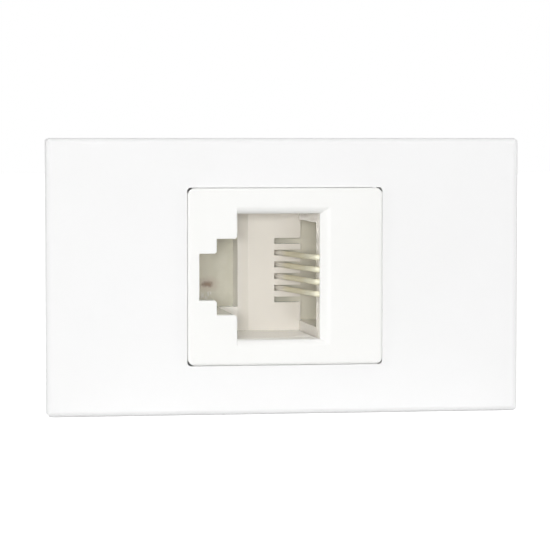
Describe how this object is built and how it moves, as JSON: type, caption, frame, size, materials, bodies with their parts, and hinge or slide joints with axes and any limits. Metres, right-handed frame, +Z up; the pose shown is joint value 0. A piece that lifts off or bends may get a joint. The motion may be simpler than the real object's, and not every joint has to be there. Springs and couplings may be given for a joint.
{
  "type": "telephone wall socket",
  "caption": "One-module telephone wall socket: snap-in front plate with a latched modular jack, spring wire contacts and punch-down terminals behind.",
  "frame": {"origin": "centre of the flange's back face, which seats on the mounting frame", "axes": "+X along the module's length, +Y into the wall, +Z up; the front looks along -Y"},
  "size_m": [0.0388, 0.0269, 0.0226],
  "materials": {
    "plate_plastic": "smooth satin-gloss white moulding",
    "jack_plastic": "smooth white moulding",
    "carrier_plastic": "cream moulding, fine matt",
    "contact_metal": "pale gold plating, bright drawn wire",
    "board": "olive board, matt",
    "blade_metal": "tin-plated bronze",
    "cap_plastic": "white moulding, matt"
  },
  "bodies": {
    "root": {"faceplate": "plate_plastic", "jack_housing": "jack_plastic", "contact_carrier": "carrier_plastic", "contact_wire_1": "contact_metal", "contact_wire_2": "contact_metal", "contact_wire_3": "contact_metal", "contact_wire_4": "contact_metal", "circuit_board": "board", "terminal_block": "jack_plastic", "terminal_blade_1": "blade_metal", "terminal_blade_2": "blade_metal", "terminal_blade_3": "blade_metal", "terminal_blade_4": "blade_metal", "wire_cap_upper": "cap_plastic", "wire_cap_lower": "cap_plastic"}
  },
  "joints": []
}
